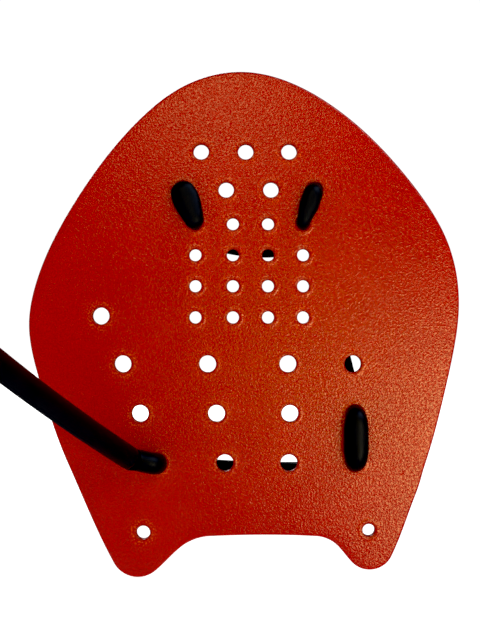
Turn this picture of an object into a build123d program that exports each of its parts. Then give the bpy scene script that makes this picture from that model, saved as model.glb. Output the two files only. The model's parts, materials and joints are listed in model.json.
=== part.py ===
from build123d import *
import os
from math import cos, hypot, radians, sin

# Swimming hand paddle for the left hand: a perforated plastic blade worn on the palm, held by
# a finger strap and a wrist strap of rubber tubing stitched through its holes.
#
# Frame: the blade stands upright in the XZ plane with the fingertips towards +Z. Its water
# face lies on y = 0 and looks along -Y; its hand face lies on y = BLADE_THICKNESS. The origin
# is the centre of the hang hole, the middle one of the fingertip row, on the water face.

# ---------------------------------------------------------------- blade, driving dimensions
BLADE_THICKNESS = 3.0
RIM_ROUND = 0.9

# Corners of the wrist end before they are rounded, as (x, z)
THUMB_LOBE_CORNER = (-48.5, -184.6)
THUMB_NOTCH_CORNER = (-22.4, -159.7)
LITTLE_NOTCH_CORNER = (35.0, -159.7)
LITTLE_LOBE_CORNER = (54.8, -183.2)
THUMB_LOBE_ROUND = 11.4
THUMB_NOTCH_ROUND = 21.5
LITTLE_NOTCH_ROUND = 14.0
LITTLE_LOBE_ROUND = 10.2

# The straight lower flanks end here, and one smooth curve goes on over the fingertips
THUMB_FLANK_TOP = (-72.7, -132.1)
LITTLE_FLANK_TOP = (69.8, -144.6)
CROWN_POINTS = [
    (-86.2, -93.5),
    (-90.1, -71.9),
    (-86.8, -53.3),
    (-70.6, -20.1),
    (-44.6, 13.1),
    (-26.2, 27.2),
    (-2.4, 33.3),
    (38.7, 17.3),
    (64.7, -7.6),
    (74.2, -19.9),
    (83.7, -36.7),
    (88.7, -63.6),
    (86.0, -85.2),
    (81.6, -104.9),
    (76.2, -124.9),
    (73.1, -134.9),
]

# Round holes, straight through the blade
FINGER_HOLE_RADIUS = 3.2
PALM_HOLE_RADIUS = 2.5
WRIST_HOLE_RADIUS = 3.5
THUMB_LOBE_HOLE_RADIUS = 2.8
LITTLE_LOBE_HOLE_RADIUS = 2.55

FINGERTIP_ROW_Z = 0.0
FINGERTIP_ROW_X = (-18.5, 0.0, 18.0)
FINGER_ROW_Z = -15.8
FINGER_ROW_X = (-26.0, -8.1, 10.5, 28.8)
PALM_ROW_Z = (-30.0, -42.9, -55.8, -68.8)
PALM_COLUMN_X = (-20.9, -5.3, 9.3, 23.9)
THUMB_SIDE_HOLE = (-60.1, -68.2)
WRIST_ROWS = (
    (-88.1, (-51.0, -15.8, 17.6, 44.5)),
    (-108.7, (-43.8, -12.1, 18.4, 45.4)),
    (-129.2, (-36.4, -8.6, 18.0, 45.4)),
)
THUMB_LOBE_HOLE = (-42.5, -158.1)
LITTLE_LOBE_HOLE = (51.1, -157.1)

# ---------------------------------------------------------------- straps, driving dimensions
FINGER_TUBE_RADIUS = 4.0
WRIST_TUBE_RADIUS = 4.75
TUBE_WALL = 1.6
FINGER_BEND_RADIUS = 4.4
WRIST_BEND_RADIUS = 5.2
FACE_GAP = 0.1
HOLE_GAP = 0.05
JOINT_GAP = 0.15

FINGER_TAIL_LENGTH = 11.0
WRIST_TAIL_LENGTH = 21.0
WRIST_TAIL_TILT = 13.7

# Each loop is two quarter ovals that meet at its apex: its height, and the apex's distance from
# the thumb-side hole. The lean is measured from square to the blade, towards the wrist.
OVAL_FULLNESS = 0.55
FINGER_LOOP_HEIGHT = 18.0
FINGER_LOOP_APEX = 31.0
FINGER_LOOP_LEAN = 28.0
WRIST_BAND_HEIGHT = 30.0
WRIST_BAND_APEX = 58.0
WRIST_BAND_LEAN = 19.2

# Loose end of the wrist strap on the water side: it lies on the blade for a moment, folds at
# the kink and rises in a gentle curve over the thumb side to its cut end
LOOSE_KINK = (-46.5, -7.0, -126.75)
LOOSE_MIDDLE = (-68.2, -41.0, -104.8)
LOOSE_END = (-89.8, -84.0, -78.6)

# ---------------------------------------------------------------- derived places
# Holes that a strap goes through, as (x, z)
FINGER_THUMB_UPPER = (FINGER_ROW_X[0], FINGER_ROW_Z)
FINGER_THUMB_LOWER = (PALM_COLUMN_X[0], PALM_ROW_Z[0])
FINGER_LITTLE_UPPER = (FINGER_ROW_X[3], FINGER_ROW_Z)
FINGER_LITTLE_LOWER = (PALM_COLUMN_X[3], PALM_ROW_Z[0])
WRIST_LITTLE_UPPER = (WRIST_ROWS[1][1][3], WRIST_ROWS[1][0])
WRIST_LITTLE_LOWER = (WRIST_ROWS[2][1][3], WRIST_ROWS[2][0])
WRIST_THUMB_LOWER = (WRIST_ROWS[2][1][0], WRIST_ROWS[2][0])

# Height of the axis that each loop swings about, above the hand face
FINGER_AXIS_Y = BLADE_THICKNESS + FINGER_TUBE_RADIUS + JOINT_GAP
WRIST_AXIS_Y = BLADE_THICKNESS + WRIST_TUBE_RADIUS + JOINT_GAP


def along(start, end):
    """The unit direction from one (x, z) place to another, and the distance between them."""
    dx = end[0] - start[0]
    dz = end[1] - start[1]
    distance = hypot(dx, dz)
    return (dx / distance, dz / distance), distance


def strap_plane(hole, direction):
    """A plane through a hole's axis: its x runs along the blade, its y stands off the water face."""
    dx, dz = direction
    return Plane(origin=(hole[0], 0, hole[1]), x_dir=(dx, 0, dz), z_dir=(dz, 0, -dx))


def tube_along(path, radius, mode=Mode.ADD):
    """Add (or cut) a round rod along a path in the part being built."""
    course = Wire(path.edges())
    with BuildSketch(Plane(origin=course @ 0, z_dir=course % 0)) as section:
        Circle(radius)
    sweep(section.sketch, path=course, mode=mode)


def pinched_neck(hole, radius):
    """The stretch of a strap squeezed inside one hole, just proud of both faces."""
    with BuildSketch(Plane.XZ.offset(-BLADE_THICKNESS - FACE_GAP)) as section:
        with Locations(hole):
            Circle(radius)
    extrude(section.sketch, amount=BLADE_THICKNESS + 2 * FACE_GAP)


def stitch_on_water_face(upper, lower, tube_radius, bend_radius):
    """The stretch of a strap that lies on the water face between two holes."""
    direction, distance = along(upper, lower)
    with BuildLine(strap_plane(upper, direction)) as stitch:
        CenterArc((bend_radius, FACE_GAP), bend_radius, 180, -90)
        Line((bend_radius, FACE_GAP + bend_radius), (distance - bend_radius, FACE_GAP + bend_radius))
        CenterArc((distance - bend_radius, FACE_GAP), bend_radius, 90, -90)
    tube_along(stitch.line, tube_radius)


def tail_on_hand_face(hole, direction, tube_radius, bend_radius, length):
    """A strap's short cut end: it bends over on the hand face and stays open at its end."""
    low = -BLADE_THICKNESS - FACE_GAP
    with BuildLine(strap_plane(hole, direction)) as tail:
        CenterArc((bend_radius, low), bend_radius, 180, 90)
        Line((bend_radius, low - bend_radius), (bend_radius + length, low - bend_radius))
    tube_along(tail.line, tube_radius)
    with BuildLine(strap_plane(hole, direction)) as bore:
        Line((bend_radius, low - bend_radius), (bend_radius + length, low - bend_radius))
    tube_along(bore.line, tube_radius - TUBE_WALL, mode=Mode.SUBTRACT)


def loop_over_hand_face(start, end, axis_y, tube_radius, height, apex, lean):
    """A strap's arch over the hand, with ball ends centred on the axis that it swings about."""
    span = end[0] - start[0]
    tilt = radians(lean)
    arch_plane = Plane(
        origin=(start[0], axis_y, start[1]), x_dir=(1, 0, 0), z_dir=(0, sin(tilt), cos(tilt))
    )
    with BuildLine(arch_plane) as arch:
        Bezier(
            (0, 0),
            (0, OVAL_FULLNESS * height),
            (apex - OVAL_FULLNESS * apex, height),
            (apex, height),
        )
        Bezier(
            (apex, height),
            (apex + OVAL_FULLNESS * (span - apex), height),
            (span, OVAL_FULLNESS * height),
            (span, 0),
        )
    tube_along(arch.line, tube_radius)
    with Locations((start[0], axis_y, start[1]), (end[0], axis_y, end[1])):
        Sphere(tube_radius)
    tube_along(arch.line, tube_radius - TUBE_WALL, mode=Mode.SUBTRACT)


# ---------------------------------------------------------------- blade
with BuildPart() as blade:
    with BuildSketch(Plane.XZ) as outline:
        with BuildLine():
            Line(THUMB_LOBE_CORNER, THUMB_FLANK_TOP)
            Spline(
                THUMB_FLANK_TOP,
                *CROWN_POINTS,
                LITTLE_FLANK_TOP,
                tangents=(
                    along(THUMB_LOBE_CORNER, THUMB_FLANK_TOP)[0],
                    along(LITTLE_FLANK_TOP, LITTLE_LOBE_CORNER)[0],
                ),
            )
            Polyline(
                LITTLE_FLANK_TOP,
                LITTLE_LOBE_CORNER,
                LITTLE_NOTCH_CORNER,
                THUMB_NOTCH_CORNER,
                THUMB_LOBE_CORNER,
            )
        make_face()
        for corner, radius in (
            (THUMB_LOBE_CORNER, THUMB_LOBE_ROUND),
            (LITTLE_LOBE_CORNER, LITTLE_LOBE_ROUND),
            (THUMB_NOTCH_CORNER, THUMB_NOTCH_ROUND),
            (LITTLE_NOTCH_CORNER, LITTLE_NOTCH_ROUND),
        ):
            fillet(outline.vertices().sort_by_distance(corner)[0], radius)
    extrude(amount=-BLADE_THICKNESS)
    fillet(blade.faces().filter_by(Axis.Y).edges(), RIM_ROUND)

    with BuildSketch(Plane.XZ):
        with Locations(*[(x, FINGERTIP_ROW_Z) for x in FINGERTIP_ROW_X]):
            Circle(FINGER_HOLE_RADIUS)
        with Locations(*[(x, FINGER_ROW_Z) for x in FINGER_ROW_X]):
            Circle(FINGER_HOLE_RADIUS)
        with Locations(*[(x, z) for z in PALM_ROW_Z for x in PALM_COLUMN_X]):
            Circle(PALM_HOLE_RADIUS)
        with Locations(THUMB_SIDE_HOLE, *[(x, z) for z, row in WRIST_ROWS for x in row]):
            Circle(WRIST_HOLE_RADIUS)
        with Locations(THUMB_LOBE_HOLE):
            Circle(THUMB_LOBE_HOLE_RADIUS)
        with Locations(LITTLE_LOBE_HOLE):
            Circle(LITTLE_LOBE_HOLE_RADIUS)
    extrude(amount=-BLADE_THICKNESS, mode=Mode.SUBTRACT)

# ---------------------------------------------------------------- finger strap
with BuildPart() as finger_strap_thumb_stitch:
    stitch_on_water_face(
        FINGER_THUMB_UPPER, FINGER_THUMB_LOWER, FINGER_TUBE_RADIUS, FINGER_BEND_RADIUS
    )
    pinched_neck(FINGER_THUMB_UPPER, FINGER_HOLE_RADIUS - HOLE_GAP)
    pinched_neck(FINGER_THUMB_LOWER, PALM_HOLE_RADIUS - HOLE_GAP)
    tail_on_hand_face(
        FINGER_THUMB_UPPER,
        along(FINGER_THUMB_LOWER, FINGER_THUMB_UPPER)[0],
        FINGER_TUBE_RADIUS,
        FINGER_BEND_RADIUS,
        FINGER_TAIL_LENGTH,
    )

with BuildPart() as finger_strap_little_stitch:
    stitch_on_water_face(
        FINGER_LITTLE_UPPER, FINGER_LITTLE_LOWER, FINGER_TUBE_RADIUS, FINGER_BEND_RADIUS
    )
    pinched_neck(FINGER_LITTLE_UPPER, FINGER_HOLE_RADIUS - HOLE_GAP)
    pinched_neck(FINGER_LITTLE_LOWER, PALM_HOLE_RADIUS - HOLE_GAP)
    tail_on_hand_face(
        FINGER_LITTLE_UPPER,
        along(FINGER_LITTLE_LOWER, FINGER_LITTLE_UPPER)[0],
        FINGER_TUBE_RADIUS,
        FINGER_BEND_RADIUS,
        FINGER_TAIL_LENGTH,
    )

with BuildPart() as finger_loop:
    loop_over_hand_face(
        FINGER_THUMB_LOWER,
        FINGER_LITTLE_LOWER,
        FINGER_AXIS_Y,
        FINGER_TUBE_RADIUS,
        FINGER_LOOP_HEIGHT,
        FINGER_LOOP_APEX,
        FINGER_LOOP_LEAN,
    )

# ---------------------------------------------------------------- wrist strap
with BuildPart() as wrist_strap_little_stitch:
    stitch_on_water_face(
        WRIST_LITTLE_UPPER, WRIST_LITTLE_LOWER, WRIST_TUBE_RADIUS, WRIST_BEND_RADIUS
    )
    pinched_neck(WRIST_LITTLE_UPPER, WRIST_HOLE_RADIUS - HOLE_GAP)
    pinched_neck(WRIST_LITTLE_LOWER, WRIST_HOLE_RADIUS - HOLE_GAP)
    tail_on_hand_face(
        WRIST_LITTLE_UPPER,
        (-sin(radians(WRIST_TAIL_TILT)), cos(radians(WRIST_TAIL_TILT))),
        WRIST_TUBE_RADIUS,
        WRIST_BEND_RADIUS,
        WRIST_TAIL_LENGTH,
    )

with BuildPart() as wrist_band:
    loop_over_hand_face(
        WRIST_THUMB_LOWER,
        WRIST_LITTLE_LOWER,
        WRIST_AXIS_Y,
        WRIST_TUBE_RADIUS,
        WRIST_BAND_HEIGHT,
        WRIST_BAND_APEX,
        WRIST_BAND_LEAN,
    )

with BuildPart() as wrist_strap_loose_root:
    root_direction, kink_distance = along(WRIST_THUMB_LOWER, (LOOSE_KINK[0], LOOSE_KINK[2]))
    with BuildLine(strap_plane(WRIST_THUMB_LOWER, root_direction)) as root:
        CenterArc((WRIST_BEND_RADIUS, FACE_GAP), WRIST_BEND_RADIUS, 180, -90)
        Line(
            (WRIST_BEND_RADIUS, FACE_GAP + WRIST_BEND_RADIUS),
            (kink_distance - WRIST_TUBE_RADIUS - JOINT_GAP, FACE_GAP + WRIST_BEND_RADIUS),
        )
    tube_along(root.line, WRIST_TUBE_RADIUS)
    pinched_neck(WRIST_THUMB_LOWER, WRIST_HOLE_RADIUS - HOLE_GAP)

with BuildPart() as wrist_strap_loose_end:
    with BuildLine() as rise:
        ThreePointArc(LOOSE_KINK, LOOSE_MIDDLE, LOOSE_END)
    tube_along(rise.line, WRIST_TUBE_RADIUS)
    with Locations(LOOSE_KINK):
        Sphere(WRIST_TUBE_RADIUS)
    tube_along(rise.line, WRIST_TUBE_RADIUS - TUBE_WALL, mode=Mode.SUBTRACT)

# ---------------------------------------------------------------- write one STEP per piece
pieces = {
    "blade": blade,
    "finger_strap_thumb_stitch": finger_strap_thumb_stitch,
    "finger_strap_little_stitch": finger_strap_little_stitch,
    "finger_loop": finger_loop,
    "wrist_strap_little_stitch": wrist_strap_little_stitch,
    "wrist_band": wrist_band,
    "wrist_strap_loose_root": wrist_strap_loose_root,
    "wrist_strap_loose_end": wrist_strap_loose_end,
}
os.makedirs("parts", exist_ok=True)
for name, piece in pieces.items():
    piece.part.label = name
    export_step(piece.part, f"parts/{name}.step")
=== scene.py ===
import json
import math

import bpy
import numpy as np
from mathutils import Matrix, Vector
from mathutils.geometry import delaunay_2d_cdt


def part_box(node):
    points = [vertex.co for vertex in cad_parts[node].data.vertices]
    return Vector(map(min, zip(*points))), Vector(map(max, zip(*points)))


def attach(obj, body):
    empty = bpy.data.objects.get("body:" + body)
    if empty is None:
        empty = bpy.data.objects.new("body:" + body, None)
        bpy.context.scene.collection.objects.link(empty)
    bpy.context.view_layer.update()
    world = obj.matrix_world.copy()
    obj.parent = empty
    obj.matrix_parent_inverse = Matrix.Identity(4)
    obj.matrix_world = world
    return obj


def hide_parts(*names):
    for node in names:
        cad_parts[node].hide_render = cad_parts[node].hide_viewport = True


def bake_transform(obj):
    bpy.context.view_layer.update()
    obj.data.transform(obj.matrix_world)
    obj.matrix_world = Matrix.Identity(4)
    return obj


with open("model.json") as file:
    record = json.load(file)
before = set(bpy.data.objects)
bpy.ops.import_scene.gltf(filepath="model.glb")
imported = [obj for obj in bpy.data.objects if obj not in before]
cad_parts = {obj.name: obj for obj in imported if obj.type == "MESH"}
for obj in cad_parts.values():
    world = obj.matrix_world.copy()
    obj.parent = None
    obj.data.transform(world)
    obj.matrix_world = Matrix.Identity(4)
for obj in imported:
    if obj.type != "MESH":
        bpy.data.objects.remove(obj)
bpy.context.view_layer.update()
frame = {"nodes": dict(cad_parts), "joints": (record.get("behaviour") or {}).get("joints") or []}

# A swimming hand paddle. The blade stands in the XZ plane with its water face towards -Y, its
# fingertips up and the origin in its hang hole, and two rubber tubes are stitched through it.
# Everything here is in metres.
MM = 0.001

# ---------------------------------------------------------------- read the blade from the frame


def face_loops(node, face_y):
    """Closed loops of points (x, z) round one flat face of a node that looks along -Y."""
    mesh = frame["nodes"][node].data
    edges = set()
    places = {}
    for polygon in mesh.polygons:
        if polygon.normal.y > -0.999 or abs(polygon.center.y - face_y) > 0.01 * MM:
            continue
        keys = []
        for index in polygon.vertices:
            co = mesh.vertices[index].co
            key = (round(co.x / (0.001 * MM)), round(co.z / (0.001 * MM)))
            places[key] = (co.x, co.z)
            keys.append(key)
        edges.update(zip(keys, keys[1:] + keys[:1]))
    follow = {a: b for a, b in edges if (b, a) not in edges}
    loops = []
    while follow:
        key, after = follow.popitem()
        loop = [key]
        while after in follow:
            loop.append(after)
            after = follow.pop(after)
        loops.append(np.array([places[k] for k in loop]))
    return sorted(loops, key=lambda loop: -np.ptp(loop[:, 0]))


BLADE_LOW, BLADE_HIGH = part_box("blade")
THICKNESS = BLADE_HIGH.y - BLADE_LOW.y
blade_loops = face_loops("blade", BLADE_LOW.y)
face_outline = blade_loops[0]
RIM = face_outline[:, 0].min() - BLADE_LOW.x
holes = []
for loop in blade_loops[1:]:
    centre = (loop.max(axis=0) + loop.min(axis=0)) / 2
    holes.append((centre[0], centre[1], np.ptp(loop[:, 0]) / 2))


def hole_near(x, z):
    """The hole nearest to a place on the blade, as (x, z, radius)."""
    return min(holes, key=lambda hole: math.hypot(hole[0] - x, hole[1] - z))


# ---------------------------------------------------------------- small helpers


def smoothstep(t):
    t = np.clip(t, 0.0, 1.0)
    return t * t * (3 - 2 * t)


def new_mesh(name, verts, faces, sharp_degrees=40):
    """A smooth-shaded mesh object with sharp edges above an angle."""
    mesh = bpy.data.meshes.new(name)
    mesh.from_pydata([tuple(v) for v in verts], [], faces)
    mesh.validate()
    for polygon in mesh.polygons:
        polygon.use_smooth = True
    mesh.set_sharp_from_angle(angle=math.radians(sharp_degrees))
    obj = bpy.data.objects.new(name, mesh)
    bpy.context.scene.collection.objects.link(obj)
    return obj


def resample_closed(points, count):
    """Evenly spaced points on a smooth closed curve through the given points."""
    closed = np.vstack([points, points[:1]])
    length = np.concatenate([[0], np.cumsum(np.linalg.norm(np.diff(closed, axis=0), axis=1))])
    places = np.linspace(0, length[-1], count, endpoint=False)
    segment = np.clip(np.searchsorted(length, places, side="right") - 1, 0, len(points) - 1)
    t = ((places - length[segment]) / (length[segment + 1] - length[segment]))[:, None]
    n = len(points)
    p0, p1 = points[(segment - 1) % n], points[segment]
    p2, p3 = points[(segment + 1) % n], points[(segment + 2) % n]
    span0 = np.linalg.norm(p1 - p0, axis=1)[:, None]
    span1 = np.linalg.norm(p2 - p1, axis=1)[:, None]
    span2 = np.linalg.norm(p3 - p2, axis=1)[:, None]
    m1 = ((p2 - p1) / span1 * span0 + (p1 - p0) / span0 * span1) / (span0 + span1) * span1
    m2 = ((p3 - p2) / span2 * span1 + (p2 - p1) / span1 * span2) / (span1 + span2) * span1
    return (
        (2 * t**3 - 3 * t**2 + 1) * p1
        + (t**3 - 2 * t**2 + t) * m1
        + (3 * t**2 - 2 * t**3) * p2
        + (t**3 - t**2) * m2
    )


# ---------------------------------------------------------------- blade
OUTLINE_POINTS = 460
RIM_STEPS = 6
LIP_STEPS = 3
HOLE_SEGMENTS = 44
HOLE_LIP = 0.28 * MM
# Points of the grid between the rings, and how near they may come to the outline and the rings
GRID_STEP = 3.2 * MM
OUTLINE_MARGIN = 0.6 * GRID_STEP
RING_MARGIN = 0.5 * GRID_STEP
# Distances of the rings of points round a hole, outwards from its lip
RING_STEPS = np.array([0.0, 0.25, 0.5, 0.8, 1.1, 1.4, 1.7, 2.0, 2.4, 2.8]) * MM
# The moulded collar round a hole, as its height, distance from the edge and width: a low ring,
# clearest round the small palm holes
SMALL_HOLE = 2.7 * MM
SMALL_COLLAR = (0.16 * MM, 1.25 * MM, 0.55 * MM)
LARGE_COLLAR = (0.09 * MM, 0.95 * MM, 0.55 * MM)
# Marks round each hole, as distance from its edge and width: lighter specks that are partly wear and
# partly painted glints, and a line of painted shade at the hole's edge
WORN_AND_GLINT_RING = (1.7 * MM, 1.1 * MM)
HOLE_EDGE_PAINTED_SHADE_RING = (0.2 * MM, 0.7 * MM)


def collar_height(points):
    """How far the face stands proud at each (x, z) point."""
    height = np.zeros(len(points))
    for x, z, radius in holes:
        tall, away, width = SMALL_COLLAR if radius < SMALL_HOLE else LARGE_COLLAR
        distance = np.hypot(points[:, 0] - x, points[:, 1] - z) - radius
        height = np.maximum(height, tall * np.exp(-(((distance - away) / width) ** 2)))
    return height


def near_holes(points, away, width):
    """1 on a ring at a distance from each hole's edge, fading to 0 over a width either side."""
    near = np.zeros(len(points))
    for x, z, radius in holes:
        distance = np.hypot(points[:, 0] - x, points[:, 1] - z) - radius
        near = np.maximum(near, np.exp(-(((distance - away) / width) ** 2)))
    return near


def inside_outline(points, outline):
    """Which of the points lie inside a closed outline."""
    inside = np.zeros(len(points), bool)
    for a, b in zip(outline, np.roll(outline, -1, axis=0)):
        crosses = (a[1] > points[:, 1]) != (b[1] > points[:, 1])
        with np.errstate(divide="ignore", invalid="ignore"):
            at = (b[0] - a[0]) * (points[:, 1] - a[1]) / (b[1] - a[1]) + a[0]
        inside ^= crosses & (points[:, 0] < at)
    return inside


def make_blade():
    """The blade: two grained faces with collars, a rounded rim, and holes with eased edges."""
    outline = resample_closed(face_outline, OUTLINE_POINTS)
    tangent = np.roll(outline, -1, axis=0) - np.roll(outline, 1, axis=0)
    tangent /= np.linalg.norm(tangent, axis=1)[:, None]
    outward = np.stack([tangent[:, 1], -tangent[:, 0]], axis=1)
    if ((outline - outline.mean(axis=0)) * outward).sum() < 0:
        outward = -outward

    # Flat layout of one face: the outline, rings round each hole, and a grid between them
    layout = [outline]
    angles = np.linspace(0, 2 * math.pi, HOLE_SEGMENTS, endpoint=False)
    circle = np.stack([np.cos(angles), np.sin(angles)], axis=1)
    for x, z, radius in holes:
        for step in RING_STEPS:
            layout.append(np.array([x, z]) + circle * (radius + HOLE_LIP + step))
    low, high = outline.min(axis=0), outline.max(axis=0)
    row_step = GRID_STEP * math.sqrt(3) / 2
    grid = []
    for row, z in enumerate(np.arange(low[1], high[1], row_step)):
        for x in np.arange(low[0] + (row % 2) * GRID_STEP / 2, high[0], GRID_STEP):
            grid.append((x, z))
    grid = np.array(grid)
    keep = inside_outline(grid, outline)
    reach = np.min(np.linalg.norm(grid[:, None, :] - outline[None, :, :], axis=2), axis=1)
    keep &= reach > OUTLINE_MARGIN
    for x, z, radius in holes:
        away = np.hypot(grid[:, 0] - x, grid[:, 1] - z)
        keep &= away > radius + HOLE_LIP + RING_STEPS[-1] + RING_MARGIN
    layout.append(grid[keep])
    points = np.vstack(layout)

    # Triangles between the outline, the outermost rings and the grid
    def loop_edges(first, count):
        return [(first + i, first + (i + 1) % count) for i in range(count)]

    rings = len(RING_STEPS)
    ring_start = OUTLINE_POINTS
    edges = loop_edges(0, OUTLINE_POINTS)
    used = list(range(OUTLINE_POINTS))
    for index in range(len(holes)):
        outer = ring_start + (index * rings + rings - 1) * HOLE_SEGMENTS
        edges += loop_edges(outer, HOLE_SEGMENTS)
        used += range(outer, outer + HOLE_SEGMENTS)
    used += range(len(points) - int(keep.sum()), len(points))
    renumber = {old: new for new, old in enumerate(used)}
    result = delaunay_2d_cdt(
        [Vector(points[i]) for i in used],
        [(renumber[a], renumber[b]) for a, b in edges],
        [],
        0,
        1e-9,
    )
    source = [origin[0] for origin in result[3]]
    triangles = np.array([[used[source[i]] for i in face] for face in result[2]])
    # Triangles inside an outermost ring have their centres nearer than the ring's flats
    centres = points[triangles].mean(axis=1)
    keep_triangle = inside_outline(centres, outline)
    flat = math.cos(math.pi / HOLE_SEGMENTS)
    for x, z, radius in holes:
        away = np.hypot(centres[:, 0] - x, centres[:, 1] - z)
        keep_triangle &= away > (radius + HOLE_LIP + RING_STEPS[-1]) * flat
    triangles = triangles[keep_triangle]
    a, b, c = (points[triangles[:, i]] for i in range(3))
    turn = (b[:, 0] - a[:, 0]) * (c[:, 1] - a[:, 1]) - (b[:, 1] - a[:, 1]) * (c[:, 0] - a[:, 0])
    triangles[turn < 0] = triangles[turn < 0][:, ::-1]

    # Seen from the water side (+X right, +Z up), counter-clockwise faces look along -Y
    count = len(points)
    proud = collar_height(points)
    water = np.stack([points[:, 0], BLADE_LOW.y - proud, points[:, 1]], axis=1)
    hand = np.stack([points[:, 0], BLADE_HIGH.y + proud, points[:, 1]], axis=1)
    verts = [water, hand]
    faces = [tuple(t) for t in triangles] + [tuple(t[::-1] + count) for t in triangles]
    for index in range(len(holes)):
        for ring in range(rings - 1):
            inner = ring_start + (index * rings + ring) * HOLE_SEGMENTS
            outer = inner + HOLE_SEGMENTS
            for i in range(HOLE_SEGMENTS):
                j = (i + 1) % HOLE_SEGMENTS
                quad = (inner + i, outer + i, outer + j, inner + j)
                faces.append(quad)
                faces.append(tuple(v + count for v in reversed(quad)))

    # Rim and hole walls: strips of quads from the water face's loop to the hand face's loop
    total = 2 * count

    def strip(first_loop, middle_loops, last_loop, flip):
        nonlocal total
        loops = [first_loop]
        for loop in middle_loops:
            verts.append(loop)
            loops.append(np.arange(total, total + len(loop)))
            total += len(loop)
        loops.append(last_loop)
        for one, two in zip(loops, loops[1:]):
            for i in range(len(one)):
                j = (i + 1) % len(one)
                quad = (one[i], two[i], two[j], one[j])
                faces.append(tuple(reversed(quad)) if flip else quad)

    def eased_profile(size, steps):
        """(inset from the loop, depth) from one face to the other along an eased edge."""
        turn = np.linspace(0, math.pi / 2, steps + 1)[1:]
        near = [(size * math.sin(t), size * (1 - math.cos(t))) for t in turn]
        far = [(out, THICKNESS - depth) for out, depth in reversed(near)]
        return near + far

    middle = []
    for out, depth in eased_profile(RIM, RIM_STEPS):
        ring = outline + outward * out
        depths = np.full(OUTLINE_POINTS, BLADE_LOW.y + depth)
        middle.append(np.stack([ring[:, 0], depths, ring[:, 1]], axis=1))
    outline_ccw = np.cross(outline, np.roll(outline, -1, axis=0)).sum() > 0
    first = np.arange(OUTLINE_POINTS)
    strip(first, middle, first + count, flip=not outline_ccw)
    for index, (x, z, radius) in enumerate(holes):
        middle = []
        for inset, depth in eased_profile(HOLE_LIP, LIP_STEPS):
            ring = np.array([x, z]) + circle * (radius + HOLE_LIP - inset)
            depths = np.full(HOLE_SEGMENTS, BLADE_LOW.y + depth)
            middle.append(np.stack([ring[:, 0], depths, ring[:, 1]], axis=1))
        first = ring_start + index * rings * HOLE_SEGMENTS + np.arange(HOLE_SEGMENTS)
        strip(first, middle, first + count, flip=True)
    places = np.vstack(verts)
    piece = new_mesh("paddle_blade", places, faces, 60)
    # Marks for the material: specks that are partly wear and partly painted glints, and painted shade
    # at each hole's edge
    for name, (away, width) in (("worn_and_glint", WORN_AND_GLINT_RING), ("hole_edge_painted_shade", HOLE_EDGE_PAINTED_SHADE_RING)):
        marks = piece.data.attributes.new(name, "FLOAT", "POINT")
        marks.data.foreach_set("value", near_holes(places[:, [0, 2]], away, width))
    return piece


# ---------------------------------------------------------------- rubber tubes
PATH_STEP = 0.45 * MM
TUBE_SEGMENTS = 48
WALL = 1.6 * MM
CUT_EASE = 0.3 * MM
BORE_DEPTH = 14 * MM
BORE_RINGS = 9
PLUG_DEPTH = 1.45 * MM
GRIP = 0.05 * MM


def rounded_path(corners, radii, step=PATH_STEP):
    """Points along straight runs joined by arcs; radii are those of the inner corners."""
    corners = [np.array(c, float) for c in corners]
    points = [corners[0]]

    def run_to(target):
        distance = np.linalg.norm(target - points[-1])
        count = max(1, round(distance / step))
        start = points[-1]
        for i in range(1, count + 1):
            points.append(start + (target - start) * i / count)

    for before, corner, after, radius in zip(corners, corners[1:], corners[2:], radii):
        into = (corner - before) / np.linalg.norm(corner - before)
        out = (after - corner) / np.linalg.norm(after - corner)
        turn = math.acos(np.clip(into @ out, -1, 1))
        reach = radius * math.tan(turn / 2)
        start, end = corner - into * reach, corner + out * reach
        run_to(start)
        centre = corner + (out - into) / np.linalg.norm(out - into) * radius / math.cos(turn / 2)
        count = max(2, round(radius * turn / step))
        for i in range(1, count + 1):
            angle = turn * i / count
            arm = (start - centre) * math.cos(angle) + into * radius * math.sin(angle)
            points.append(centre + arm)
    run_to(corners[-1])
    return np.array(points)


def smooth_path(path, rounds):
    """The same path with its curvature evened out; the end points stay."""
    path = path.copy()
    for _ in range(rounds):
        path[1:-1] = 0.25 * path[:-2] + 0.5 * path[1:-1] + 0.25 * path[2:]
    return path


def arclength(path):
    return np.concatenate([[0], np.cumsum(np.linalg.norm(np.diff(path, axis=0), axis=1))])


def carried_frames(path, side):
    """Tangents, and a side direction carried along the path without twisting."""
    tangent = np.gradient(path, axis=0)
    tangent /= np.linalg.norm(tangent, axis=1)[:, None]
    sides = []
    current = np.array(side, float)
    for t in tangent:
        current = current - t * (current @ t)
        current /= np.linalg.norm(current)
        sides.append(current)
    sides = np.array(sides)
    return tangent, sides, np.cross(sides, tangent)


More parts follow.
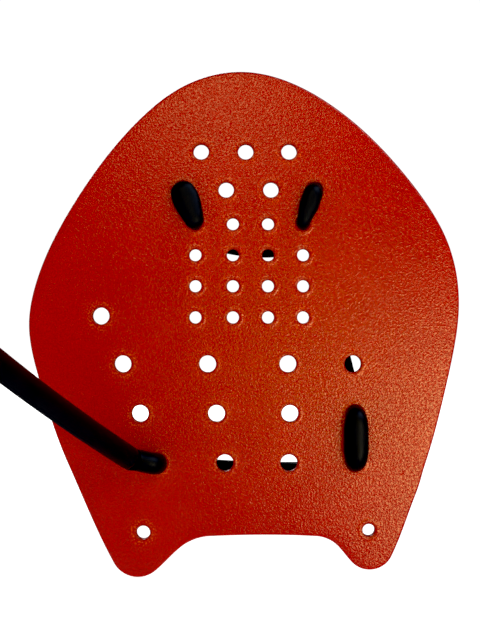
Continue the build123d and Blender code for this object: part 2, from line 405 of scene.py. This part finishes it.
def tube(name, path, side, half_width, half_outer, half_inner, open_start=False, open_end=False):
    """A tube swept along a path. Its section is half_width to each side, half_outer towards
    side x tangent and half_inner away from it; an open end shows the wall and the bore."""
    tangent, across, out = carried_frames(path, side)
    count = len(path)
    angles = np.linspace(0, 2 * math.pi, TUBE_SEGMENTS, endpoint=False)
    cosines, sines = np.cos(angles), np.sin(angles)

    def ring(index, scale=1.0, shift=0.0):
        height = np.where(sines > 0, half_outer[index], half_inner[index])
        return (
            path[index]
            + tangent[index] * shift
            + across[index] * (cosines * half_width[index] * scale)[:, None]
            + out[index] * (sines * height * scale)[:, None]
        )

    rings = []
    length = arclength(path)

    def cut_end(index, direction):
        """Rings from deep in the bore out to the eased edge of the cut, at one end."""
        inner = 1 - WALL / half_width[index]
        made = []
        for depth in np.linspace(BORE_DEPTH, 0, BORE_RINGS):
            at = length[index] - direction * depth
            near = int(np.argmin(np.abs(length - at)))
            made.append(ring(near, inner * half_width[index] / half_width[near]))
        made[-1] = ring(index, inner + 0.04, 0)
        made[-2] = ring(index, inner, -direction * 0.12 * MM)
        made.append(ring(index, 1 - CUT_EASE / half_width[index] * 0.9, 0))
        made.append(ring(index, 1 - CUT_EASE / half_width[index] * 0.3, -direction * CUT_EASE * 0.3))
        return made

    first, last = 0, count - 1
    if open_start:
        rings += cut_end(0, -1)
        first = int(np.searchsorted(length, CUT_EASE))
    body = list(range(first, count))
    if open_end:
        body = [i for i in body if length[i] < length[-1] - CUT_EASE]
    rings += [ring(i) for i in body]
    if open_end:
        rings += cut_end(last, 1)[::-1]
    verts = np.vstack(rings + [rings[0].mean(axis=0)[None], rings[-1].mean(axis=0)[None]])
    faces = []
    for r in range(len(rings) - 1):
        for i in range(TUBE_SEGMENTS):
            j = (i + 1) % TUBE_SEGMENTS
            a, b = r * TUBE_SEGMENTS, (r + 1) * TUBE_SEGMENTS
            faces.append((a + i, b + i, b + j, a + j))
    start_cap, end_cap = len(verts) - 2, len(verts) - 1
    for i in range(TUBE_SEGMENTS):
        j = (i + 1) % TUBE_SEGMENTS
        faces.append((start_cap, i, j))
        b = (len(rings) - 1) * TUBE_SEGMENTS
        faces.append((end_cap, b + j, b + i))
    return new_mesh(name, verts, faces, 50)


def squeeze(path, radius_free, flare):
    """How far each point of a path is squeezed by a hole, from 0 (free) to 1 (inside it), and
    the radius of the hole nearest to it."""
    outside = np.maximum(BLADE_LOW.y - path[:, 1], path[:, 1] - BLADE_HIGH.y)
    length = arclength(path)
    amount = np.zeros(len(path))
    throat = np.full(len(path), radius_free)
    crossing = np.where(outside <= 0)[0]
    groups = np.split(crossing, np.where(np.diff(crossing) > 1)[0] + 1) if len(crossing) else []
    for group in groups:
        middle = path[group].mean(axis=0)
        radius = hole_near(middle[0], middle[2])[2] - GRIP
        gap = np.maximum(length[group[0]] - length, length - length[group[-1]])
        here = 1 - smoothstep(np.maximum(gap, 0) / flare)
        closer = here > amount
        amount[closer] = here[closer]
        throat[closer] = radius
    return amount, throat


def mix(a, b, t):
    return a + (b - a) * t


def squeezed_sizes(path, free_sizes, free_radius, flare):
    """Half sizes along a path: the free ones, closing to the round throat of each hole."""
    amount, throat = squeeze(path, free_radius, flare)
    return [mix(free, throat, amount) for free in free_sizes]


# ---------------------------------------------------------------- straps: places and sizes
FINGER_TUBE = 4.0 * MM
WRIST_TUBE = 4.75 * MM
FINGER_FLARE = 3.6 * MM
WRIST_FLARE = 4.2 * MM

joints = {joint["name"]: joint for joint in frame["joints"]}


def joint_place(name):
    return np.array(joints[name]["pos_m"], float)


def loop_ends(node, joint, radius):
    """Both pivots of a loop: on its joint's axis, one tube radius inside its box."""
    low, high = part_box(node)
    _, y, z = joint_place(joint)
    return np.array([low.x + radius, y, z]), np.array([high.x - radius, y, z])


finger_pivots = loop_ends("finger_loop", "finger_loop_swing", FINGER_TUBE)
wrist_pivots = loop_ends("wrist_band", "wrist_band_swing", WRIST_TUBE)
FINGER_THUMB_LOWER = hole_near(finger_pivots[0][0], finger_pivots[0][2])
FINGER_LITTLE_LOWER = hole_near(finger_pivots[1][0], finger_pivots[1][2])
FINGER_THUMB_UPPER = hole_near(-26.0 * MM, -15.8 * MM)
FINGER_LITTLE_UPPER = hole_near(28.8 * MM, -15.8 * MM)
WRIST_THUMB_LOWER = hole_near(wrist_pivots[0][0], wrist_pivots[0][2])
WRIST_LITTLE_LOWER = hole_near(wrist_pivots[1][0], wrist_pivots[1][2])
WRIST_LITTLE_UPPER = hole_near(45.4 * MM, -108.7 * MM)


def at_hole(hole, y):
    return np.array([hole[0], y, hole[1]])


def unit(vector):
    return vector / np.linalg.norm(vector)


# ---------------------------------------------------------------- straps: stitches
# The cut end stands off the hand face by a little, and rises towards its cut
TAIL_CLEARANCE = 0.5 * MM
TAIL_RISE = 1.0 * MM


def stitch(
    name, upper, lower, tube_radius, run_height, bend, tail_way, tail_length, bulge, stations, flare
):
    """A strap's cut end on the hand side, its way through the upper hole, the stitch on the
    water face and its way into the lower hole. Each end of the stitch bulges by (x, z, reach):
    out of line with its hole, and past its own path. Stations are (share of the stitch, half
    width, half height)."""
    tail_height = BLADE_HIGH.y + tube_radius + TAIL_CLEARANCE
    tail_start = at_hole(upper, tail_height + TAIL_RISE) + tail_way * (tube_radius + tail_length)
    corners = [
        tail_start,
        at_hole(upper, tail_height),
        at_hole(upper, BLADE_LOW.y - run_height) + np.array([bulge[0][0], 0, bulge[0][1]]),
        at_hole(lower, BLADE_LOW.y - run_height) + np.array([bulge[1][0], 0, bulge[1][1]]),
        at_hole(lower, BLADE_LOW.y + PLUG_DEPTH),
    ]
    path = smooth_path(rounded_path(corners, (tube_radius * 1.1, bend, bend)), 8)
    run = unit(at_hole(lower, 0) - at_hole(upper, 0))
    along_run = (path - at_hole(upper, 0)) @ run
    share = along_run / np.linalg.norm(at_hole(lower, 0) - at_hole(upper, 0))
    on_water = smoothstep((BLADE_LOW.y + 0.5 * MM - path[:, 1]) / (1.5 * MM))
    places = [station[0] for station in stations]
    width = np.interp(share, places, [station[1] for station in stations])
    height = np.interp(share, places, [station[2] for station in stations])
    width = mix(tube_radius, width, on_water)
    height = mix(tube_radius, height, on_water)
    steps = np.gradient(path, axis=0)
    upright = smoothstep(np.abs(steps[:, 1]) / np.linalg.norm(steps, axis=1)) * on_water
    reach = np.where(share < 0.5, bulge[0][2], bulge[1][2])
    sizes = squeezed_sizes(path, (width, mix(height, reach, upright), height), tube_radius, flare)
    across = np.cross(run, (0, -1, 0))
    return tube(name, path, across, *sizes, open_start=True)


finger_thumb = stitch(
    "finger_strap_thumb_side",
    FINGER_THUMB_UPPER,
    FINGER_THUMB_LOWER,
    FINGER_TUBE,
    run_height=2.7 * MM,
    bend=2.4 * MM,
    tail_way=unit(at_hole(FINGER_THUMB_UPPER, 0) - at_hole(FINGER_THUMB_LOWER, 0)),
    tail_length=11 * MM,
    bulge=((-0.5 * MM, 0.3 * MM, 3.9 * MM), (0.3 * MM, 0, 2.9 * MM)),
    stations=[
        (-0.2, 4.0 * MM, 2.5 * MM),
        (0.05, 5.2 * MM, 2.4 * MM),
        (0.25, 5.7 * MM, 2.3 * MM),
        (0.5, 5.4 * MM, 2.4 * MM),
        (0.85, 4.3 * MM, 2.5 * MM),
        (1.15, 3.2 * MM, 2.5 * MM),
    ],
    flare=2.2 * MM,
)
finger_little = stitch(
    "finger_strap_little_side",
    FINGER_LITTLE_UPPER,
    FINGER_LITTLE_LOWER,
    FINGER_TUBE,
    run_height=2.7 * MM,
    bend=2.4 * MM,
    tail_way=unit(at_hole(FINGER_LITTLE_UPPER, 0) - at_hole(FINGER_LITTLE_LOWER, 0)),
    tail_length=11 * MM,
    bulge=((-0.4 * MM, -0.2 * MM, 3.2 * MM), (-0.5 * MM, -0.2 * MM, 2.8 * MM)),
    stations=[
        (-0.2, 3.2 * MM, 2.5 * MM),
        (0.15, 4.1 * MM, 2.5 * MM),
        (0.5, 4.1 * MM, 2.5 * MM),
        (0.85, 3.1 * MM, 2.4 * MM),
        (1.1, 2.8 * MM, 2.4 * MM),
    ],
    flare=2.2 * MM,
)
WRIST_TAIL_TILT = math.radians(13.7)
wrist_little = stitch(
    "wrist_strap_little_side",
    WRIST_LITTLE_UPPER,
    WRIST_LITTLE_LOWER,
    WRIST_TUBE,
    run_height=3.7 * MM,
    bend=3.2 * MM,
    tail_way=np.array([-math.sin(WRIST_TAIL_TILT), 0, math.cos(WRIST_TAIL_TILT)]),
    tail_length=21 * MM,
    bulge=((0, 0, 3.9 * MM), (0, 0.4 * MM, 3.9 * MM)),
    stations=[
        (-0.15, 3.2 * MM, 3.4 * MM),
        (0.1, 4.7 * MM, 3.4 * MM),
        (0.3, 5.2 * MM, 3.4 * MM),
        (0.75, 5.2 * MM, 3.4 * MM),
        (0.92, 4.6 * MM, 3.4 * MM),
        (1.15, 3.0 * MM, 3.4 * MM),
    ],
    flare=3.0 * MM,
)
for piece, node in (
    (finger_thumb, "finger_strap_thumb_stitch"),
    (finger_little, "finger_strap_little_stitch"),
    (wrist_little, "wrist_strap_little_stitch"),
):
    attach(piece, "blade")
    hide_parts(node)

# ---------------------------------------------------------------- straps: loops over the hand
OVAL_FULLNESS = 0.55
BEZIER_POINTS = 120
BEND_SMOOTHING = 24
APEX_OVAL = 0.04


def bezier(p0, p1, p2, p3):
    t = np.linspace(0, 1, BEZIER_POINTS)[:, None]
    return (1 - t) ** 3 * p0 + 3 * t * (1 - t) ** 2 * p1 + 3 * t**2 * (1 - t) * p2 + t**3 * p3


def even_steps(path, step=PATH_STEP):
    """The same path in even steps."""
    length = arclength(path)
    places = np.linspace(0, length[-1], max(2, round(length[-1] / step)))
    return np.stack([np.interp(places, length, path[:, k]) for k in range(3)], axis=1)


def loop(name, pivots, radius, height, apex, lean, flare):
    """A strap's arch over the hand side, from inside one hole to inside the other."""
    start, end = pivots
    up = np.array([0, math.cos(math.radians(lean)), -math.sin(math.radians(lean))])
    along = np.array([1.0, 0, 0])
    span = end[0] - start[0]
    top = start + along * apex + up * height
    first = bezier(
        start, start + up * OVAL_FULLNESS * height, top - along * OVAL_FULLNESS * apex, top
    )
    second = bezier(
        top, top + along * OVAL_FULLNESS * (span - apex), end + up * OVAL_FULLNESS * height, end
    )
    plug = BLADE_LOW.y + PLUG_DEPTH + 0.1 * MM
    path = np.vstack(
        [
            [at_hole((start[0], start[2]), plug)],
            first,
            second[1:],
            [at_hole((end[0], end[2]), plug)],
        ]
    )
    path = smooth_path(even_steps(path), BEND_SMOOTHING)
    # Bending makes the section a little oval, most of all at the apex
    rise = (path - start) @ up / height
    oval = 1 + APEX_OVAL * smoothstep(rise)
    free = (radius * oval, radius / oval, radius / oval)
    sizes = squeezed_sizes(path, free, radius, flare)
    return tube(name, path, np.cross(along, up), *sizes)


finger_arch = loop(
    "finger_loop_tube",
    finger_pivots,
    FINGER_TUBE,
    height=18.0 * MM,
    apex=31.0 * MM,
    lean=28.0,
    flare=FINGER_FLARE,
)
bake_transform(finger_arch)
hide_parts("finger_loop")

wrist_arch = loop(
    "wrist_band_tube",
    wrist_pivots,
    WRIST_TUBE,
    height=30.0 * MM,
    apex=58.0 * MM,
    lean=19.2,
    flare=WRIST_FLARE,
)
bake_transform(wrist_arch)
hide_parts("wrist_band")

# ---------------------------------------------------------------- straps: loose end
LOOSE_MIDDLE = np.array([-68.2, -41.0, -104.5]) * MM
LOOSE_END = np.array([-89.5, -84.5, -78.0]) * MM
LOOSE_ROOT_BEND = 3.4 * MM
LOOSE_FLARE = 2.6 * MM
RISE_POINTS = 160


def arc_through(a, b, c):
    """Points on the circle through three points, from the first to the last."""
    u, v = b - a, c - a
    normal = np.cross(u, v)
    centre = a + (np.cross(normal, u) * (v @ v) + np.cross(v, normal) * (u @ u)) / (2 * normal @ normal)
    radius = np.linalg.norm(a - centre)
    e1 = (a - centre) / radius
    e2 = np.cross(unit(normal), e1)
    sweep = math.atan2((c - centre) @ e2, (c - centre) @ e1) % (2 * math.pi)
    t = np.linspace(0, sweep, RISE_POINTS)[:, None]
    return centre + radius * (np.cos(t) * e1 + np.sin(t) * e2)


def make_loose_end():
    """The strap's free end: out of the hole, over on its side, folded at the kink and away."""
    kink = joint_place("loose_end_lift")
    hole = WRIST_THUMB_LOWER
    rise = arc_through(kink, LOOSE_MIDDLE, LOOSE_END)
    run_height = kink[1] + 2.2 * MM
    shoulder = at_hole(hole, run_height)
    near_kink = mix(kink, at_hole(hole, kink[1]), 0.25)
    near_kink[1] = run_height - 0.4 * MM
    corners = [at_hole(hole, BLADE_LOW.y + PLUG_DEPTH), shoulder, near_kink]
    root = rounded_path(corners, (LOOSE_ROOT_BEND,))
    path = smooth_path(even_steps(np.vstack([root, rise])), 6)
    length = arclength(path)
    fold = length[int(np.argmin(np.linalg.norm(path - kink, axis=1)))]
    from_fold = length - fold
    # The inner wall folds in sharply at the kink and bulges again just past it
    crease = np.exp(-((from_fold / (1.1 * MM)) ** 2))
    lip = np.exp(-(((from_fold - 2.4 * MM) / (1.6 * MM)) ** 2))
    rooty = 1 - smoothstep((from_fold + 1.0 * MM) / (4 * MM))
    width = WRIST_TUBE * (1 - 0.07 * rooty + 0.05 * crease)
    outer = WRIST_TUBE * (1 - 0.12 * rooty)
    inner = WRIST_TUBE * (1 - 0.12 * rooty - 0.62 * crease + 0.07 * lip)
    sizes = squeezed_sizes(path, (width, outer, inner), WRIST_TUBE, LOOSE_FLARE)
    side = np.cross(unit(shoulder - kink), (0, -1, 0))
    return tube("wrist_strap_loose_tube", path, side, *sizes, open_end=True), kink, shoulder


loose_tube, kink, shoulder = make_loose_end()
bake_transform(loose_tube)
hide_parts("wrist_strap_loose_root", "wrist_strap_loose_end")

blade = make_blade()
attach(blade, "blade")
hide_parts("blade")

# ---------------------------------------------------------------- materials


def new_material(name):
    material = bpy.data.materials.new(name)
    material.use_nodes = True
    tree = material.node_tree
    return material, tree, tree.nodes["Principled BSDF"]


def add_node(tree, kind, inputs=None, **settings):
    """A shader node; its inputs are values or the output sockets of other nodes."""
    node = tree.nodes.new(kind)
    for key, value in settings.items():
        setattr(node, key, value)
    for key, value in (inputs or {}).items():
        if isinstance(value, bpy.types.NodeSocket):
            tree.links.new(value, node.inputs[key])
        else:
            node.inputs[key].default_value = value
    return node


def noise(tree, place, scale, detail):
    inputs = {"Vector": place, "Scale": scale, "Detail": detail}
    return add_node(tree, "ShaderNodeTexNoise", inputs).outputs["Fac"]


def remap(tree, value, low, high, to_low, to_high):
    inputs = {
        "Value": value, "From Min": low, "From Max": high, "To Min": to_low, "To Max": to_high
    }
    return add_node(tree, "ShaderNodeMapRange", inputs).outputs["Result"]


def multiply(tree, a, b):
    return add_node(tree, "ShaderNodeMath", {0: a, 1: b}, operation="MULTIPLY").outputs[0]


def ramp(tree, factor, stops):
    """A colour ramp; stops are (position, colour)."""
    node = add_node(tree, "ShaderNodeValToRGB", {"Fac": factor})
    elements = node.color_ramp.elements
    for element, (position, colour) in zip(elements, stops):
        element.position = position
        element.color = colour
    return node.outputs["Color"]


PEBBLES_PER_METRE = 1400.0
GRAIN_DEPTH = 0.085 * MM
BLADE_DARK = (0.44, 0.0030, 0.0001, 1)
BLADE_LIGHT = (0.485, 0.0045, 0.0002, 1)
# Lighter orange in specks round the holes: partly wear, partly painted glints
WORN_AND_GLINT_GAIN = (0.26, 0.080, 0.006)
RUBBER_DARK = (0.0080, 0.0084, 0.0102, 1)
RUBBER_LIGHT = (0.0092, 0.0097, 0.0118, 1)
RUBBER_SPECULAR = 0.2
RUBBER_SPECULAR_TINT = (0.4, 0.6, 1.0, 1)


def blade_plastic():
    """Orange-red moulded plastic with a fine leather grain, lightly mottled, with specks round the
    holes that are partly scuffs and partly painted glints, and painted shade in its grooves and at the
    hole edges.
    """
    material, tree, shader = new_material("blade_plastic_grained")
    place = add_node(tree, "ShaderNodeTexCoord").outputs["Object"]
    # Pebbles bent out of round, with lumps between them
    wander = add_node(tree, "ShaderNodeTexNoise", {"Vector": place, "Scale": 800.0}).outputs["Color"]
    bent = add_node(
        tree,
        "ShaderNodeVectorMath",
        {0: wander, 1: (0.9 * MM,) * 3, 2: place},
        operation="MULTIPLY_ADD",
    ).outputs["Vector"]
    pebbles = add_node(
        tree,
        "ShaderNodeTexVoronoi",
        {"Vector": bent, "Scale": PEBBLES_PER_METRE, "Smoothness": 0.5},
        feature="SMOOTH_F1",
    ).outputs["Distance"]
    grain = add_node(
        tree,
        "ShaderNodeMath",
        {0: noise(tree, place, PEBBLES_PER_METRE, 1.0), 1: 0.8, 2: pebbles},
        operation="MULTIPLY_ADD",
    ).outputs[0]
    bump = add_node(
        tree, "ShaderNodeBump", {"Height": grain, "Strength": 1.0, "Distance": GRAIN_DEPTH}
    )
    mottle = ramp(tree, noise(tree, place, 40.0, 4.0), [(0.3, BLADE_DARK), (0.7, BLADE_LIGHT)])
    # Painted shade: the grooves between the pebbles are a little darker, as is the edge of each hole.
    # The specks round the holes are lighter, partly wear and partly painted glints
    edge = add_node(tree, "ShaderNodeAttribute", attribute_name="hole_edge_painted_shade").outputs["Fac"]
    ring = add_node(tree, "ShaderNodeAttribute", attribute_name="worn_and_glint").outputs["Fac"]
    specks = remap(tree, noise(tree, place, 1050.0, 2.5), 0.43, 0.57, 0.0, 1.0)
    flecks = remap(tree, noise(tree, place, 1300.0, 1.0), 0.54, 0.64, 0.0, 1.0)
    # Painted shade at each hole's edge: the colour and the sheen are darkened there
    hole_edge_shade_factor = remap(tree, edge, 0.0, 1.0, 1.0, 0.72)
    painted_shade = multiply(tree, remap(tree, grain, 0.35, 1.15, 1.10, 0.88), hole_edge_shade_factor)
    # Specks round the holes painted lighter: partly wear, partly painted glints where the collars catch
    # the light
    worn_and_glint_specks = add_node(
        tree,
        "ShaderNodeVectorMath",
        {0: WORN_AND_GLINT_GAIN, "Scale": multiply(tree, ring, flecks)},
        operation="SCALE",
    ).outputs["Vector"]
    colour = add_node(
        tree, "ShaderNodeVectorMath", {0: mottle, 1: worn_and_glint_specks}, operation="ADD"
    ).outputs["Vector"]
    colour = add_node(
        tree, "ShaderNodeVectorMath", {0: colour, "Scale": painted_shade}, operation="SCALE"
    ).outputs["Vector"]
    # The sheen sits on the specks and is dull between them
    sheen = multiply(tree, remap(tree, specks, 0.0, 1.0, 0.28, 0.94), hole_edge_shade_factor)
    roughness = remap(tree, noise(tree, place, 90.0, 6.0), 0.3, 0.7, 0.18, 0.23)
    tree.links.new(colour, shader.inputs["Base Color"])
    tree.links.new(roughness, shader.inputs["Roughness"])
    tree.links.new(sheen, shader.inputs["Specular IOR Level"])
    tree.links.new(bump.outputs["Normal"], shader.inputs["Normal"])
    return material


def strap_rubber():
    """Black latex tubing: satin, with a faint dusty bloom and tiny pits."""
    material, tree, shader = new_material("strap_rubber_black")
    place = add_node(tree, "ShaderNodeTexCoord").outputs["Object"]
    bloom = noise(tree, place, 120.0, 5.0)
    colour = ramp(tree, bloom, [(0.35, RUBBER_DARK), (0.75, RUBBER_LIGHT)])
    bump = add_node(
        tree,
        "ShaderNodeBump",
        {"Height": noise(tree, place, 2200.0, 3.0), "Strength": 0.5, "Distance": 0.02 * MM},
    )
    roughness = remap(tree, bloom, 0.3, 0.7, 0.36, 0.46)
    tree.links.new(colour, shader.inputs["Base Color"])
    tree.links.new(roughness, shader.inputs["Roughness"])
    tree.links.new(bump.outputs["Normal"], shader.inputs["Normal"])
    shader.inputs["Specular IOR Level"].default_value = RUBBER_SPECULAR
    shader.inputs["Specular Tint"].default_value = RUBBER_SPECULAR_TINT
    return material


blade.data.materials.append(blade_plastic())
rubber = strap_rubber()
for piece in (finger_thumb, finger_little, wrist_little, finger_arch, wrist_arch, loose_tube):
    piece.data.materials.append(rubber)

# ---------------------------------------------------------------- stage, light and camera
FLOOR_DROP = 0.2 * MM
FLOOR_RADIUS = 6.0
FLOOR_SIDES = 64
# How bright the floor looks near the object and far off, and its share of that as a light
FLOOR_NEAR = 0.87
FLOOR_FAR = 1.05
FLOOR_AS_LIGHT = 0.78
WORLD_AS_LIGHT = 0.04
WORLD_SEEN = 1.05


def make_floor():
    """A wide pale floor, bright enough to fade into the pale world behind it, and a little
    dimmer as a light. It takes shadows but isn't mirrored in the blade, so that the blade's
    sheen comes from the lights alone."""
    level = BLADE_LOW.z - FLOOR_DROP
    verts = [(0, 0, level)]
    for i in range(FLOOR_SIDES):
        angle = 2 * math.pi * i / FLOOR_SIDES
        verts.append((FLOOR_RADIUS * math.cos(angle), FLOOR_RADIUS * math.sin(angle), level))
    faces = [(0, 1 + i, 1 + (i + 1) % FLOOR_SIDES) for i in range(FLOOR_SIDES)]
    floor = new_mesh("stage_floor", verts, faces, 180)
    material, tree, shader = new_material("stage_white")
    shader.inputs["Base Color"].default_value = (0.9, 0.9, 0.9, 1)
    shader.inputs["Roughness"].default_value = 1.0
    shader.inputs["Specular IOR Level"].default_value = 0.0
    shader.inputs["Emission Color"].default_value = (1, 1, 1, 1)
    place = add_node(tree, "ShaderNodeTexCoord").outputs["Object"]
    away = add_node(tree, "ShaderNodeVectorMath", {0: place}, operation="LENGTH").outputs["Value"]
    seen = add_node(tree, "ShaderNodeLightPath").outputs["Is Camera Ray"]
    glow = remap(tree, away, 0.2, 0.8, FLOOR_NEAR, FLOOR_FAR)
    strength = multiply(tree, glow, remap(tree, seen, 0.0, 1.0, FLOOR_AS_LIGHT, 1.0))
    tree.links.new(strength, shader.inputs["Emission Strength"])
    floor.data.materials.append(material)
    floor.visible_glossy = False


def area_light(name, place, target, size, brightness, colour=(1, 1, 1), shape="RECTANGLE"):
    """A soft light aimed at a point, with its (width, height) and its surface's brightness."""
    width, height = size
    area = width * height * (math.pi / 4 if shape == "ELLIPSE" else 1)
    data = bpy.data.lights.new(name, "AREA")
    data.shape = shape
    data.size, data.size_y = size
    data.energy = brightness * math.pi * area
    data.color = colour
    light = bpy.data.objects.new(name, data)
    light.location = place
    light.rotation_mode = "QUATERNION"
    light.rotation_quaternion = (Vector(target) - Vector(place)).to_track_quat("-Z", "Y")
    light.visible_camera = False
    bpy.context.scene.collection.objects.link(light)


def make_world():
    """White where the camera looks past the object, and dim everywhere as light."""
    world = bpy.data.worlds.new("pale_world")
    bpy.context.scene.world = world
    world.use_nodes = True
    tree = world.node_tree
    seen = add_node(tree, "ShaderNodeLightPath").outputs["Is Camera Ray"]
    strength = remap(tree, seen, 0.0, 1.0, WORLD_AS_LIGHT, WORLD_SEEN)
    background = tree.nodes["Background"]
    background.inputs["Color"].default_value = (1, 1, 1, 1)
    tree.links.new(strength, background.inputs["Strength"])


make_floor()
make_world()
# The sheen lights stand beside the camera, where the blade mirrors them to it: a strong one low
# on the right, one for the fingertips, and a dim yellow one for the palm
SHEEN_Y = -0.41
WARM = (1.0, 0.62, 0.24)
YELLOW = (1.0, 0.62, 0.0)
LIGHT_TARGET = (0, 0, -70 * MM)
BLACK_LEVEL = 0.010


def sheen_light(name, x, z, width, height, brightness, colour):
    place, target = (x, SHEEN_Y, z), (x, 0, z)
    area_light(name, place, target, (width, height), brightness, colour, "ELLIPSE")


sheen_light("light_sheen_low", 0.208, -0.192, 0.20, 0.24, 6.8, WARM)
sheen_light("light_sheen_middle", 0.047, -0.095, 0.08, 0.13, 2.6, YELLOW)
sheen_light("light_sheen_top", -0.022, 0.143, 0.16, 0.12, 4.4, WARM)
area_light("light_key", (0.70, -0.70, 0.85), LIGHT_TARGET, (0.8, 0.8), 2.4)
area_light("light_left", (-1.0, -0.5, 0.3), LIGHT_TARGET, (0.7, 0.9), 0.3)
area_light("light_back", (-0.5, 1.1, 0.7), LIGHT_TARGET, (0.9, 0.9), 4.0)

# Colours go straight to the picture, with the deepest shadows a little deepened
look = bpy.context.scene.view_settings
look.view_transform = "Standard"
look.use_curve_mapping = True
look.curve_mapping.black_level = (BLACK_LEVEL,) * 3
look.curve_mapping.update()

# Square on to the water face, at the height of the blade's middle
CAMERA_PLACE = Vector((-2.35 * MM, -400 * MM, -69.87 * MM))
SENSOR_WIDTH = 36.0
LENS = 54.22
camera_data = bpy.data.cameras.new("camera")
camera_data.sensor_width = SENSOR_WIDTH
camera_data.lens = LENS
camera = bpy.data.objects.new("camera", camera_data)
camera.location = CAMERA_PLACE
camera.rotation_mode = "QUATERNION"
camera.rotation_quaternion = Vector((0, 1, 0)).to_track_quat("-Z", "Y")
bpy.context.scene.collection.objects.link(camera)
bpy.context.scene.camera = camera
